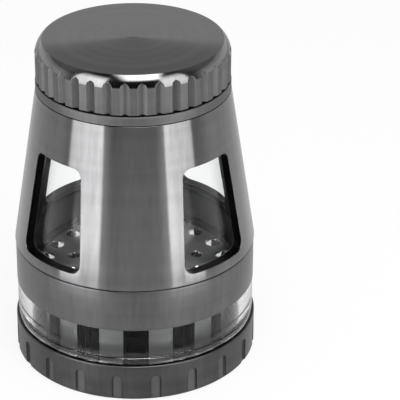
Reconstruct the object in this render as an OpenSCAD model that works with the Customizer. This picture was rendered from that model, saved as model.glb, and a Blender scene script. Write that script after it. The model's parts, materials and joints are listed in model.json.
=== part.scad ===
// Twist spice mill: a base cup with grinding teeth, a clear ring, a toothed
// plate with fall-through holes in a threaded band, a conical barrel with four
// lined windows and a fluted screw cap.
// Millimetres, +Z up, origin under the centre of the base.

/* [Body] */
// Outside diameter of the metal band round the grinding plate
body_d = 63; // [58:0.5:76]
// How far the foot of the barrel stands proud of the band
foot_lip = 0.17; // [0:0.01:0.5]
// Small bevel on the outer edges of the turned parts
edge_break = 0.35; // [0.1:0.05:0.6]

/* [Base cup] */
// Height of the base cup
base_h = 10.1; // [9:0.1:16]
// How far the base stands proud of the band
base_lip = 0.5; // [0.2:0.1:1.5]
// Thickness of the floor under the grinding chamber
base_floor = 4; // [2.5:0.1:5.5]
// Bevel round the bottom edge of the base
foot_bevel = 0.7; // [0.2:0.1:1.5]
// Wall left between the grip slots and the running seat
rim_wall = 0.9; // [0.6:0.1:1.5]
// Depth of the running seat below the rim
seat_d = 2.9; // [2:0.1:4]
// Number of grip slots
slot_n = 20; // [12:1:28]
// Width of a grip slot
slot_w = 2.3; // [1.5:0.1:3.5]
// Depth of a grip slot
slot_d = 0.9; // [0.5:0.1:1.4]
// Metal left above the rounded end of a grip slot
slot_head = 2.75; // [2:0.05:4]

/* [Running fit] */
// Radial thickness of the friction ring
friction_t = 1; // [0.6:0.1:1.5]
// Height of the friction ring
friction_h = 2.4; // [1.5:0.1:2.6]
// Clearance between parts that turn on each other
run_gap = 0.1; // [0.05:0.01:0.1]
// Height of the shadow gap between the base and the clear ring
base_gap = 0.2; // [0.1:0.05:0.6]

/* [Clear ring] */
// Height of the clear ring that shows
ring_h = 10.3; // [8:0.1:16]
// How far the clear ring lies inside the band
ring_inset = 0.1; // [0:0.05:0.5]
// Wall of the spigot and of the tongue
spigot_t = 1; // [0.7:0.1:1.5]
// Height of the flange line above the bottom of the ring
flange_h = 2; // [1.2:0.1:3]
// Width of the flange line
flange_w = 0.35; // [0.2:0.05:0.6]
// Height of the tongue that enters the plate
tongue_h = 1; // [0.6:0.1:1.2]
// Thickness of the gasket over the tongue
gasket_t = 0.5; // [0.3:0.1:0.6]

/* [Grinding teeth] */
// Space between the outer teeth and the wall of the cup
chamber_gap = 3.3; // [2:0.1:4]
// Thickness of a tooth from its outer to its inner face
tooth_t = 2.4; // [1.8:0.1:2.7]
// Clearance between two rows of teeth that pass each other
row_gap = 0.5; // [0.3:0.05:0.8]
// Clearance over the tips of the teeth
tip_gap = 0.9; // [0.5:0.1:2]
// Teeth in each of the two outer rows
tooth_n = 12; // [8:1:14]
// Teeth in each of the two inner rows
inner_tooth_n = 8; // [5:1:9]
// Width of a tooth, as an angle at its outer face
tooth_a = 15; // [10:0.5:18]
// Share of that angle left at the inner face of a tooth
tooth_taper = 0.62; // [0.4:0.01:1]

/* [Grinding plate] */
// Thickness of the plate
plate_t = 2.6; // [2.2:0.1:4]
// Height of the band from the underside of the plate
band_h = 11.4; // [11:0.1:16]
// Holes in the outer row
hole_n = 20; // [12:1:24]
// Diameter of a hole in the outer row and round the boss
hole_d = 4; // [2.5:0.1:4.4]
// Holes in the middle row
mid_hole_n = 12; // [8:1:16]
// Diameter of a hole in the middle row
mid_hole_d = 3; // [2:0.1:3.2]
// Holes round the boss
core_hole_n = 8; // [4:1:9]

/* [Magnets] */
// Diameter of a magnet
magnet_d = 8; // [7:0.5:10]
// Thickness of a magnet
magnet_t = 3; // [2.5:0.1:4]
// Gap between the two magnets
magnet_gap = 0.9; // [0.4:0.1:2]
// Wall of the boss round a magnet
boss_wall = 2; // [1.2:0.1:2.5]
// Height of the boss on the floor of the base
boss_h = 7.6; // [6.5:0.1:9]
// Diameter of the countersunk screws
screw_d = 3; // [2:0.1:3.5]
// Diameter of a screw head
screw_head_d = 5.5; // [5:0.1:6.5]
// Length of a screw
screw_l = 6.4; // [5:0.1:6.8]

/* [Barrel] */
// Height of the cone from its foot to the shoulder line
cone_h = 42.85; // [38:0.1:60]
// Height of the collar above the shoulder line
collar_h = 2.5; // [1.5:0.1:4]
// Radial wall of the cone
barrel_wall = 2.7; // [2:0.1:3.2]
// Shadow gap between the band and the foot of the barrel
seam_gap = 0.25; // [0.15:0.05:0.5]
// Length of the threaded spigot below the foot
spigot_h = 7.75; // [6.5:0.05:8]
// Wall of the threaded spigot
spigot_wall = 1; // [0.8:0.05:1.3]
// Step from the wall of the cone to the bore of the spigot
bore_step = 0.47; // [0.2:0.01:0.7]
// Thickness of the deck between the shoulder and the neck
deck_t = 2.6; // [1.8:0.1:3.5]
// Depth of the fine groove at the shoulder line
line_d = 0.25; // [0.1:0.05:0.4]

/* [Windows] */
// Number of windows
window_n = 4; // [2:1:4]
// Angle that the windows stand past the front when the barrel is screwed home
window_turn = -1.5; // [-45:0.5:45]
// Height of a window
window_h = 27.7; // [18:0.1:34]
// Height of the sill above the foot of the barrel
sill_h = 2.65; // [2:0.05:6]
// Width of a window at the sill
window_low_w = 21.2; // [12:0.1:26]
// Width of a window at its head
window_top_w = 15.9; // [9:0.1:20]
// Radius of the corners of a window
window_r = 2.5; // [1:0.1:4]
// Thickness of the clear liner
liner_t = 1.4; // [1:0.1:2]
// Clearance round the clear liner
liner_fit = 0.1; // [0.05:0.01:0.2]
// Thickness of the snap ring and of the seal that hold the liner
keeper_t = 0.8; // [0.5:0.1:0.9]
// Opening in the snap ring
snap_gap = 7; // [4:0.5:12]

/* [Neck] */
// Outside diameter of the neck without its thread
neck_d = 43; // [40:0.1:44]
// Height of the neck above the collar
neck_h = 7.3; // [6.5:0.1:10]
// Wall of the neck
neck_wall = 2.2; // [1.5:0.1:3]

/* [Cap] */
// Shadow gap between the collar and the cap
cap_gap = 0.35; // [0.2:0.05:0.8]
// Wall between the bore of the cap and the bottom of a flute
cap_wall = 1.75; // [1.2:0.05:2.6]
// Thickness of the roof of the cap at its centre
cap_roof = 2.5; // [2:0.1:4]
// Radius of the rounded upper edge
edge_r = 5.8; // [4:0.1:7]
// Width of the rounded edge, seen from above
edge_w = 1.9; // [1.2:0.1:2.4]
// Rise of the turned disc above its edge
dome_h = 0.3; // [0.05:0.05:0.5]
// Number of flutes
flute_n = 36; // [24:1:44]
// Width of a flute at the outside
flute_w = 2.4; // [1.6:0.1:2.8]
// Depth of a flute below the crests beside it
flute_d = 0.9; // [0.6:0.1:1.2]
// How far the crests lie inside the collar
crest_in = 0.15; // [0.05:0.05:0.3]
// How far below the top of the cap the flutes begin to run out
flute_top = 2.55; // [2.2:0.05:3.2]
// Thickness of the seals that the neck and the spigot close on
seal_t = 0.9; // [0.5:0.1:1.1]

/* [Threads] */
// Rise of a thread in one turn
lead = 2.5; // [2.3:0.1:3]
// Height of a thread ridge
thread_d = 0.6; // [0.4:0.05:0.7]
// Width of a thread ridge at its root
thread_w = 0.9; // [0.6:0.05:1]
// Clearance round a thread ridge
thread_gap = 0.2; // [0.15:0.01:0.3]
// Plain length at each end of a thread
thread_end = 0.3; // [0.2:0.05:0.5]

/* [Hidden] */
$fn = 96;
over = 1;
front = -90;
thread_steps = 40;
arc_steps = 8;
tooth_steps = 3;

metal = [0.33, 0.33, 0.34];
metal_dark = [0.22, 0.22, 0.23];
plastic_white = [0.92, 0.92, 0.9];
clear = [0.86, 0.92, 0.95, 0.45];
rubber = [0.1, 0.1, 0.1];
nickel = [0.75, 0.75, 0.77];
steel = [0.62, 0.62, 0.64];

// Radii of the running seat, from the rim of the base inwards
body_r = body_d / 2;
base_r = body_r + base_lip;
seat_r = base_r - slot_d - rim_wall;
friction_ro = seat_r - run_gap;
friction_ri = friction_ro - friction_t;
ring_spigot_r = friction_ri - run_gap;
ring_bore_r = ring_spigot_r - spigot_t;
cup_step = 0.3;
cup_bore_r = ring_bore_r - cup_step;
ring_r = body_r - ring_inset;

// Heights of the grinding section, from the ground up
seat_z = base_h - seat_d;
ring_z = base_h + base_gap;
plate_z = ring_z + ring_h;
plate_top = plate_z + plate_t;
band_top = plate_z + band_h;
tongue_fit = 0.1;

// Rows of teeth, counted from the outside: 0 and 2 stand, 1 and 3 hang
tooth_share = 0.55;
function row_r(i) = cup_bore_r - chamber_gap - i * (tooth_t + row_gap);

// Magnets and their bosses
magnet_r = magnet_d / 2;
boss_r = magnet_r + boss_wall;
base_boss_z = base_floor + boss_h;
plate_boss_z = base_boss_z + magnet_gap;
pocket_fit = 0.05;
magnet_break = 0.2;
screw_fit = 0.15;
screw_break = 0.3;
head_sink = 0.15;
socket_share = 0.45;
socket_d = 1.1;

// Cone of the barrel, outside and inside
foot_z = band_top + seam_gap;
shoulder_z = foot_z + cone_h;
collar_z = shoulder_z + collar_h;
foot_r = body_r + foot_lip;
neck_r = neck_d / 2;
cap_bore_r = neck_r + thread_d + thread_gap;
shoulder_r = cap_bore_r + cap_wall + flute_d + crest_in;
slope = (foot_r - shoulder_r) / cone_h;
function inside_r(z) = foot_r - barrel_wall - (z - foot_z) * slope;
spigot_bore_r = foot_r - barrel_wall - bore_step;
spigot_r = spigot_bore_r + spigot_wall;
spigot_z = foot_z - spigot_h;
band_bore_r = spigot_r + thread_d + thread_gap;
cone_in_z = foot_z + bore_step / slope;
deck_z = collar_z - deck_t;
seal_lip = 1.5;

// Clear liner and what holds it
snap_step = 0.2;
snap_z = foot_z + snap_step;
snap_depth = 0.65;
axial_fit = 0.05;
liner_z = snap_z + keeper_t + 3 * axial_fit;
liner_top = deck_z - keeper_t - 2 * axial_fit;

// Neck and cap
neck_bore_r = neck_r - neck_wall;
neck_top = collar_z + neck_h;
cap_r = shoulder_r;
cap_z = collar_z + cap_gap;
cap_seal_z = neck_top + run_gap;
roof_z = cap_seal_z + seal_t + run_gap;
cap_top = roof_z + cap_roof;
crest_r = cap_r - crest_in;
crest_angle = acos((edge_r - crest_in) / edge_r);
edge_angle = acos((edge_r - edge_w) / edge_r);
edge_z = cap_top - dome_h - edge_r * sin(edge_angle);

// Threads: each inner thread lies half a lead away from its outer one
neck_run = neck_h - cap_gap - thread_w - lead / 2 - 2 * thread_end;
neck_thread_z = neck_top - thread_end - thread_w / 2 - neck_run;
spigot_run = spigot_h - seam_gap - thread_w - lead / 2 - 2 * thread_end;
spigot_thread_z = spigot_z + thread_end + thread_w / 2;
thread_tip = 0.5;
root_sink = 0.4;

function polar(r, a) = [r * cos(a), r * sin(a)];

// Turns a section given as [radius, height] points round the axis
module turned(points) {
    rotate_extrude() polygon(points);
}

// A washer between two radii and two heights
module washer(r_out, r_in, z, h) {
    turned([[r_in, z], [r_out, z], [r_out, z + h], [r_in, z + h]]);
}

// A helical ridge of trapezoid section that rises from a root to a tip radius
module helix(root, tip, z, run) {
    inward = tip < root;
    back = inward ? root + root_sink : root - root_sink;
    wide = thread_w / 2;
    thin = wide * thread_tip;
    section = inward
        ? [[tip, -thin], [back, -wide], [back, wide], [tip, thin]]
        : [[back, -wide], [tip, -thin], [tip, thin], [back, wide]];
    steps = round(run / lead * thread_steps);
    points = [for (i = [0:steps], p = section)
        let (a = front + 360 * run / lead * i / steps)
        [p[0] * cos(a), p[0] * sin(a), z + run * i / steps + p[1]]];
    last = 4 * steps;
    sides = [for (i = [0:steps - 1], k = [0:3], half = [0, 1])
        let (a = 4 * i + k, b = 4 * i + (k + 1) % 4)
        half == 0 ? [a, b, b + 4] : [a, b + 4, a + 4]];
    polyhedron(points, concat([[0, 2, 1], [0, 3, 2]], sides,
        [[last, last + 1, last + 2], [last, last + 2, last + 3]]));
}

// One tooth: its outer face is an arc about the axis and its inner face is flat
module tooth(r_out, r_in, width, z, h) {
    half = width / 2;
    outer = [for (i = [0:tooth_steps]) polar(r_out, -half + width * i / tooth_steps)];
    inner = [for (side = [half, -half]) polar(r_in, side * tooth_taper)];
    translate([0, 0, z]) linear_extrude(h) polygon(concat(outer, inner));
}

// A row of teeth, with a gap between two teeth at the front
module tooth_row(row, n, z, h) {
    width = min(tooth_a * row_r(0) / row_r(row), tooth_share * 360 / n);
    for (i = [0:n - 1])
        rotate([0, 0, front + 360 * (i + 0.5) / n])
            tooth(row_r(row), row_r(row) - tooth_t, width, z, h);
}

// Cutters for a ring of straight holes
module hole_ring(n, d, r, z, h) {
    for (i = [0:n - 1])
        rotate([0, 0, front + 360 * (i + 0.5) / n])
            translate([r, 0, z]) cylinder(d = d, h = h, $fn = 32);
}

// Cutter for one grip slot with a rounded upper end
module grip_slot() {
    round_z = base_h - slot_head - slot_w / 2;
    translate([base_r - slot_d, 0, 0]) {
        translate([0, -slot_w / 2, -over]) cube([slot_d + over, slot_w, round_z + over]);
        translate([0, 0, round_z]) rotate([0, 90, 0]) cylinder(d = slot_w, h = slot_d + over, $fn = 32);
    }
}

// Magnet with a countersunk hole, standing on z with its face up
module magnet(z) {
    hole = screw_d / 2 + screw_fit;
    head = screw_head_d / 2 + head_sink + pocket_fit;
    cone = head - hole;
    flat = magnet_r - magnet_break;
    color(nickel)
    turned([[hole, z], [flat, z], [magnet_r, z + magnet_break], [magnet_r, z + magnet_t - magnet_break],
        [flat, z + magnet_t], [head, z + magnet_t], [hole, z + magnet_t - cone]]);
}

// Countersunk screw with its head up, flush under the face of a magnet
module screw(face_z) {
    top = face_z - head_sink;
    head = screw_head_d / 2;
    shank = screw_d / 2;
    socket = head * socket_share;
    color(steel)
    difference() {
        turned([[0, top - screw_l], [shank - screw_break, top - screw_l],
            [shank, top - screw_l + screw_break], [shank, top - (head - shank)], [head, top], [0, top]]);
        translate([0, 0, top - socket_d]) cylinder(r = socket, h = socket_d + over, $fn = 6);
    }
}

// Hollow that takes a magnet and its screw, opening upwards at face_z
module magnet_pocket(face_z) {
    floor_z = face_z - magnet_t - pocket_fit;
    translate([0, 0, floor_z]) cylinder(r = magnet_r + pocket_fit, h = magnet_t + over);
    translate([0, 0, face_z - head_sink - screw_l - pocket_fit])
        cylinder(r = screw_d / 2 + pocket_fit, h = screw_l, $fn = 32);
}

// Outline of a window in its own plane, with rounded corners
function corner(c, from, to) = [for (i = [0:arc_steps])
    c + polar(window_r, from + (to - from) * i / arc_steps)];

module window_outline() {
    low = window_low_w / 2;
    high = window_top_w / 2;
    lean = atan((low - high) / window_h);
    low_in = window_r * tan((90 + lean) / 2);
    high_in = window_r * tan((90 - lean) / 2);
    low_x = low - low_in;
    high_x = high - high_in;
    z0 = window_r;
    z1 = window_h - window_r;
    polygon(concat(corner([low_x, z0], -90, lean), corner([high_x, z1], lean, 90),
        corner([-high_x, z1], 90, 180 - lean), corner([-low_x, z0], 180 - lean, 270)));
}

module base_cup() {
    color(metal)
    difference() {
        turned([[0, 0], [base_r - foot_bevel, 0], [base_r, foot_bevel],
            [base_r, base_h - edge_break], [base_r - edge_break, base_h], [seat_r, base_h],
            [seat_r, seat_z], [cup_bore_r, seat_z], [cup_bore_r, base_floor], [0, base_floor]]);
        for (i = [0:slot_n - 1])
            rotate([0, 0, front + 360 * (i + 0.5) / slot_n]) grip_slot();
    }
}

// Teeth and magnet boss that stand on the floor of the base
module base_teeth() {
    standing = plate_z - tip_gap - base_floor;
    color(metal) {
        tooth_row(0, tooth_n, base_floor, standing);
        tooth_row(2, inner_tooth_n, base_floor, standing);
        difference() {
            translate([0, 0, base_floor]) cylinder(r = boss_r, h = boss_h);
            magnet_pocket(base_boss_z);
        }
    }
}

module base_magnet() {
    magnet(base_boss_z - magnet_t);
}

module base_magnet_screw() {
    screw(base_boss_z);
}

module friction_ring() {
    color(plastic_white)
    washer(friction_ro, friction_ri, seat_z + run_gap, friction_h);
}

module clear_ring() {
    line_z = ring_z + flange_h;
    tongue_r = ring_bore_r + spigot_t;
    color(clear)
    turned([[ring_bore_r, seat_z + 2 * run_gap], [ring_spigot_r, seat_z + 2 * run_gap],
        [ring_spigot_r, ring_z], [ring_r - edge_break, ring_z], [ring_r, ring_z + edge_break],
        [ring_r, line_z - flange_w / 2], [ring_r - flange_w, line_z], [ring_r, line_z + flange_w / 2],
        [ring_r, plate_z], [tongue_r, plate_z], [tongue_r, plate_z + tongue_h],
        [ring_bore_r, plate_z + tongue_h]]);
}

module ring_gasket() {
    color(rubber)
    washer(ring_bore_r + spigot_t, ring_bore_r, plate_z + tongue_h, gasket_t);
}

module body_band() {
    color(metal)
    union() {
        turned([[band_bore_r, plate_z], [body_r, plate_z], [body_r, band_top - edge_break],
            [body_r - edge_break, band_top], [band_bore_r, band_top]]);
        helix(band_bore_r, spigot_r + thread_gap, spigot_thread_z + lead / 2, spigot_run);
    }
}

module grinding_plate() {
    below = plate_z - over;
    through = plate_t + 2 * over;
    color(metal)
    difference() {
        translate([0, 0, plate_z]) cylinder(r = band_bore_r - pocket_fit, h = plate_t);
        washer(ring_bore_r + spigot_t + tongue_fit, ring_bore_r - tongue_fit, below,
            tongue_h + gasket_t + axial_fit + over);
        hole_ring(hole_n, hole_d, row_r(0), below, through);
        hole_ring(mid_hole_n, mid_hole_d, row_r(2) - tooth_t / 2, below, through);
        hole_ring(core_hole_n, hole_d, (boss_r + row_r(3) - tooth_t) / 2, below, through);
    }
}

// Teeth and magnet boss that hang under the plate
module plate_teeth() {
    tip_z = base_floor + tip_gap;
    color(metal) {
        tooth_row(1, tooth_n, tip_z, plate_z - tip_z);
        tooth_row(3, inner_tooth_n, tip_z, plate_z - tip_z);
        difference() {
            translate([0, 0, plate_boss_z]) cylinder(r = boss_r, h = plate_z - plate_boss_z);
            mirror([0, 0, 1]) magnet_pocket(-plate_boss_z);
        }
    }
}

module plate_magnet() {
    mirror([0, 0, 1]) magnet(-plate_boss_z - magnet_t);
}

module plate_magnet_screw() {
    mirror([0, 0, 1]) screw(-plate_boss_z);
}

module barrel_seal() {
    color(rubber)
    washer(spigot_r - run_gap, spigot_bore_r - seal_lip, plate_top, seal_t);
}

module barrel() {
    color(metal)
    difference() {
        union() {
            turned([[spigot_bore_r, spigot_z], [spigot_r - edge_break, spigot_z],
                [spigot_r, spigot_z + edge_break], [spigot_r, foot_z], [foot_r - edge_break, foot_z],
                [foot_r - edge_break * slope, foot_z + edge_break],
                [shoulder_r + line_d * slope, shoulder_z - line_d], [shoulder_r - line_d, shoulder_z],
                [shoulder_r, shoulder_z + line_d], [shoulder_r, collar_z - edge_break],
                [shoulder_r - edge_break, collar_z], [neck_r, collar_z], [neck_r, neck_top - edge_break],
                [neck_r - edge_break, neck_top], [neck_bore_r, neck_top], [neck_bore_r, deck_z],
                [inside_r(deck_z), deck_z], [spigot_bore_r, cone_in_z]]);
            helix(spigot_r, spigot_r + thread_d, spigot_thread_z, spigot_run);
            helix(neck_r, neck_r + thread_d, neck_thread_z, neck_run);
        }
        for (i = [0:window_n - 1])
            rotate([0, 0, front + window_turn + 360 * (i + 0.5) / window_n])
                translate([shoulder_r / 2, 0, foot_z + sill_h])
                    rotate([90, 0, 90]) linear_extrude(foot_r) window_outline();
        washer(spigot_bore_r + snap_depth, spigot_bore_r - over, snap_z, keeper_t + 2 * axial_fit);
    }
}

module window_liner() {
    r_low = spigot_bore_r - liner_fit;
    r_top = inside_r(liner_top) - liner_fit;
    color(clear)
    turned([[r_low - liner_t, liner_z], [r_low, liner_z], [r_low, cone_in_z], [r_top, liner_top],
        [r_top - liner_t, liner_top], [r_low - liner_t, cone_in_z]]);
}

module liner_seal() {
    r = inside_r(deck_z) - liner_fit;
    color(rubber)
    washer(r, r - liner_t, liner_top + axial_fit, keeper_t);
}

module liner_snap_ring() {
    r = spigot_bore_r + snap_depth - axial_fit;
    color(steel)
    difference() {
        washer(r, spigot_bore_r - liner_t + liner_fit, snap_z + axial_fit, keeper_t);
        rotate([0, 0, -front]) translate([0, -snap_gap / 2, 0]) cube([foot_r, snap_gap, collar_z]);
    }
}

module cap_seal() {
    color(rubber)
    translate([0, 0, cap_seal_z]) cylinder(r = cap_bore_r - run_gap, h = seal_t);
}

// Cutter for all flutes: straight grooves that run out under the rounded edge
module flutes() {
    groove_r = crest_r - flute_d;
    spread = flute_w / 2 * (flute_d + over) / flute_d;
    run_z = cap_top - flute_top;
    rise = flute_d + over;
    difference() {
        for (i = [0:flute_n - 1])
            rotate([0, 0, front + 360 * (i + 0.5) / flute_n])
                translate([0, 0, cap_z - over]) linear_extrude(run_z + rise - cap_z + over)
                    polygon([[groove_r, 0], [crest_r + over, -spread], [crest_r + over, spread]]);
        turned([[0, run_z - over], [groove_r - over, run_z - over],
            [groove_r + rise + over, run_z + rise + over], [0, run_z + rise + over]]);
    }
}

module cap() {
    rim = [for (i = [0:arc_steps]) [cap_r - edge_r, edge_z]
        + polar(edge_r, crest_angle + (edge_angle - crest_angle) * i / arc_steps)];
    color(metal_dark)
    union() {
        difference() {
            turned(concat([[cap_bore_r, cap_z], [crest_r - edge_break, cap_z],
                [crest_r, cap_z + edge_break]], rim,
                [[0, cap_top], [0, roof_z], [cap_bore_r, roof_z]]));
            flutes();
        }
        helix(cap_bore_r, neck_r + thread_gap, neck_thread_z - lead / 2, neck_run);
    }
}

base_cup();
base_teeth();
base_magnet();
base_magnet_screw();
friction_ring();
clear_ring();
ring_gasket();
body_band();
grinding_plate();
plate_teeth();
plate_magnet();
plate_magnet_screw();
barrel_seal();
barrel();
window_liner();
liner_seal();
liner_snap_ring();
cap_seal();
cap();
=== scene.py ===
"""Twist spice mill: turned metal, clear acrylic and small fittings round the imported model."""

import json
import math

import bmesh
import bpy
from bpy.props import FloatProperty, FloatVectorProperty, IntProperty, PointerProperty
from mathutils import Matrix, Vector


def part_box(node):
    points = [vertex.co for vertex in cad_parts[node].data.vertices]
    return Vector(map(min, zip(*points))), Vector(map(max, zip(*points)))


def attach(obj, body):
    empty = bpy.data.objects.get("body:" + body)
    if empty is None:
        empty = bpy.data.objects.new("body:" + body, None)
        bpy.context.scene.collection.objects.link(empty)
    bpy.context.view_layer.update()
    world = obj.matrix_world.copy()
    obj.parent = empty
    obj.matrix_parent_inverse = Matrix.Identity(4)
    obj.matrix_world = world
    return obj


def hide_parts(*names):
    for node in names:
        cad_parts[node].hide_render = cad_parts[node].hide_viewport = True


bl_info = {
    "name": "Twist spice mill",
    "version": (1, 0, 0),
    "blender": (4, 5, 0),
    "location": "View3D > Sidebar > Spice mill",
    "description": "Models a turned spice mill with a clear ring, a windowed barrel and a fluted cap",
    "category": "Object",
}

MM = 0.001
UP = Vector((0, 0, 1))

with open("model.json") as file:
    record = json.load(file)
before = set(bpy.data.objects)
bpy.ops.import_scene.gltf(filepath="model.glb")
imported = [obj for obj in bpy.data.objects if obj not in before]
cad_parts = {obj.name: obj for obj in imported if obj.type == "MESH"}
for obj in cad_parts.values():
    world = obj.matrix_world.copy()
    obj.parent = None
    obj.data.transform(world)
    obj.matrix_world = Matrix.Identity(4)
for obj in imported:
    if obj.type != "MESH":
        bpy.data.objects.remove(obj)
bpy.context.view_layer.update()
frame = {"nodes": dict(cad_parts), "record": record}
SLOTS = {part["node"]: part["material_slot"] for part in frame["record"]["subparts"]}
BODIES = {node: body for body, nodes in frame["record"]["behaviour"]["bodies"].items() for node in nodes}

# Smoothness of the turned pieces
TURN_STEPS = 288
HOLE_STEPS = 32
ARC_STEPS = 5
EDGE_STEPS = 12
THREAD_STEPS = 72
SMOOTH_ANGLE = math.radians(30)
MERGE = 0.001 * MM
# How far a cutter runs past what it cuts
OVER = 1 * MM
# Radius of the softened edges in the metal's shading, which is larger on the base, and how far the
# shade painted into its crevices reaches
EDGE_SOFT = 0.16 * MM
BASE_EDGE_SOFT = 0.3 * MM
CREVICE = 0.7 * MM
# Pitch of the fine turning marks, depth of the marks, and pitch of the broad bands
MARK_PITCH = 0.3 * MM
MARK_DEPTH = 0.003 * MM
BAND_PITCH = 2.5 * MM
# How much streaks, broad patches, bands and marks change the tone of the metal, and its tones
STREAK_TONE = 1.3
PATCH_TONE = 1.2
BAND_TONE = 0.7
MARK_TONE = 0.9
DARK_TONE = 0.85
BRIGHT_TONE = 1.15
# How much streaks and bands change its roughness
STREAK_ROUGHNESS = 0.04
BAND_ROUGHNESS = 0.03
# How wide one finish runs into the next, in most places and where it has to be sharp
BLEND = 0.1 * MM
SHARP = 0.02 * MM
# Depth of a moulded skin and of the waves in polished acrylic, and depth of scratches
SKIN_DEPTH = 0.01 * MM
SCRATCH_DEPTH = 0.006 * MM
# Nearly black, for the shade painted into crevices and shaded regions
CREVICE_SHADE_COLOUR = (0.003, 0.003, 0.003, 1)
# How much of the mirror reflection the clear pieces keep outside their glossy foot
CLEAR_SPECULAR = (0.15, 0.15, 0.15, 1)
# How far the glossy foot of the clear ring reaches over its flange line
GLOSS_RISE = 0.4 * MM
# Radius of the shank of the screws that hold the magnets
SHANK = 1.5 * MM
# Share of half its width that rounds the top of a grip slot
SLOT_ARCH = 0.98
# How far below the rim of the base the bare metal of the slots and the painted shadow on their edges start
SLOT_SHADE = 2 * MM
SLOT_EDGE_SHADE = 1 * MM
# Rings of the turned disc, as shares of its radius
DISC_RINGS = (0.75, 0.5, 0.25, 0.1, 0.02, 0)
# Up to this share of dimmed edge a lamp counts as hard
HARD_EDGE = 0.1
# The floor: its size, its tone, its tone in reflections in front of the mill, a painted shade, how far to the
# side for each step forward the two pale lanes of painted light in that lie, and how much it glows for the
# camera
FLOOR_SIZE = 6
FLOOR_PALE = (0.86, 0.86, 0.86, 1)
FLOOR_DIM = (0.48, 0.48, 0.48, 1)
FLOOR_LANE = 0.63
FLOOR_GLOW = 0.85
# The studio in reflections: behind the mill, how much darker it is higher up and at the top, and in
# front. Then the level at which it lights the mill
ROOM_BACK = 0.92
ROOM_FALL = 0.28
ROOM_TOP_FALL = 0.36
ROOM_FRONT = 0.02
ROOM_LIGHT = 0.75
# The camera, fitted to the photo: place, how far it looks down, turn to the side, roll, lens and sensor
CAMERA_PLACE = (0, -0.47641, 0.29023)
CAMERA_DOWN = math.radians(27.538)
CAMERA_PAN = math.radians(-2.073)
CAMERA_ROLL = 0.00649
CAMERA_LENS = 183.48
CAMERA_SENSOR = 36
# Nearest that the camera sees
CAMERA_NEAR = 0.01


def low(node):
    """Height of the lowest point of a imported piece."""
    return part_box(node)[0].z


def high(node):
    """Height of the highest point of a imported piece."""
    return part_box(node)[1].z


def reach(node):
    """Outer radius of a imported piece."""
    return max(abs(corner[axis]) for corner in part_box(node) for axis in (0, 1))


def length(label, words, mm):
    """A size in millimetres as a property that Blender shows as a length."""
    return FloatProperty(name=label, description=words, default=mm * MM, min=0, unit="LENGTH", precision=5)


def share(label, words, value):
    """A number between 0 and 1 as a property."""
    return FloatProperty(name=label, description=words, default=value, min=0, max=1)


def count(label, words, value):
    """A whole number of repeats as a property."""
    return IntProperty(name=label, description=words, default=value, min=1)


def colour(label, words, value):
    """A linear colour as a property."""
    return FloatVectorProperty(name=label, description=words, default=value, size=3, min=0, max=1,
                               subtype="COLOR")


class MillBaseSizes(bpy.types.PropertyGroup):
    """Sizes of the base cup, the clear ring and the grinding teeth."""

    edge: length("Edge round", "Round on the outer edges of the turned pieces", 0.35)
    foot_bevel: length("Foot bevel", "Bevel round the bottom of the base", 0.7)
    seat_depth: length("Seat depth", "Depth of the running seat below the rim", 2.9)
    cup_step: length("Cup step", "Step from the bore of the clear ring to the bore of the cup", 0.3)
    slot_count: count("Grip slots", "Number of grip slots", 20)
    slot_width: length("Slot width", "Width of a grip slot", 2.6)
    slot_depth: length("Slot depth", "Depth of a grip slot", 0.6)
    slot_head: length("Slot head", "Metal left above a grip slot", 2.75)
    rim_wall: length("Rim wall", "Wall left between the grip slots and the seat", 1.2)
    spigot_wall: length("Spigot wall", "Wall of the spigot of the clear ring", 1)
    flange_height: length("Flange height", "Height of the flange line on the clear ring", 2)
    flange_width: length("Flange width", "Width of the flange line", 0.35)
    running_gap: length("Running gap", "Clearance between pieces that turn on each other", 0.1)
    tooth_thickness: length("Tooth thickness", "Tooth from its outer to its inner face", 2.4)
    row_gap: length("Row gap", "Clearance between rows of teeth that pass", 0.5)
    tooth_angle: FloatProperty(name="Tooth angle", description="Width of a tooth at its outer face",
                               default=math.radians(15), unit="ROTATION")
    tooth_taper: share("Tooth taper", "Share of the angle left at the inner face", 0.62)
    tooth_share: share("Tooth share", "Most of the pitch that a tooth takes", 0.55)
    tooth_bevel: length("Tooth bevel", "Bevel on the edges of a tooth", 0.15)
    outer_teeth: count("Outer teeth", "Teeth in each of the two outer rows", 12)
    inner_teeth: count("Inner teeth", "Teeth in each of the two inner rows", 8)


class MillPlateSizes(bpy.types.PropertyGroup):
    """Sizes of the band, the drilled plate and the magnet bosses."""

    groove_depth: length("Groove depth", "Depth of the groove for the tongue of the clear ring", 1.55)
    tongue_fit: length("Tongue fit", "Clearance round the tongue in its groove", 0.1)
    press_gap: length("Press gap", "Clearance of pieces pressed into each other", 0.05)
    hole_flare: length("Hole flare", "Countersink under each hole", 0.25)
    hole_width_up: length("Hole mouth", "Width of the countersink on top of each hole", 0.25)
    hole_depth_up: length("Hole mouth depth", "Depth of the countersink on top of each hole", 0.25)
    outer_holes: count("Outer holes", "Holes in the outer row", 20)
    middle_holes: count("Middle holes", "Holes in the middle row", 12)
    core_holes: count("Core holes", "Holes round the boss", 8)
    hole_width: length("Hole width", "Diameter of an outer or core hole", 4)
    middle_hole_width: length("Middle hole width", "Diameter of a middle hole", 3)
    boss_wall: length("Boss wall", "Wall of a boss round its magnet", 2)
    boss_edge: length("Boss edge", "Round on the rim of a boss", 0.3)


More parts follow.
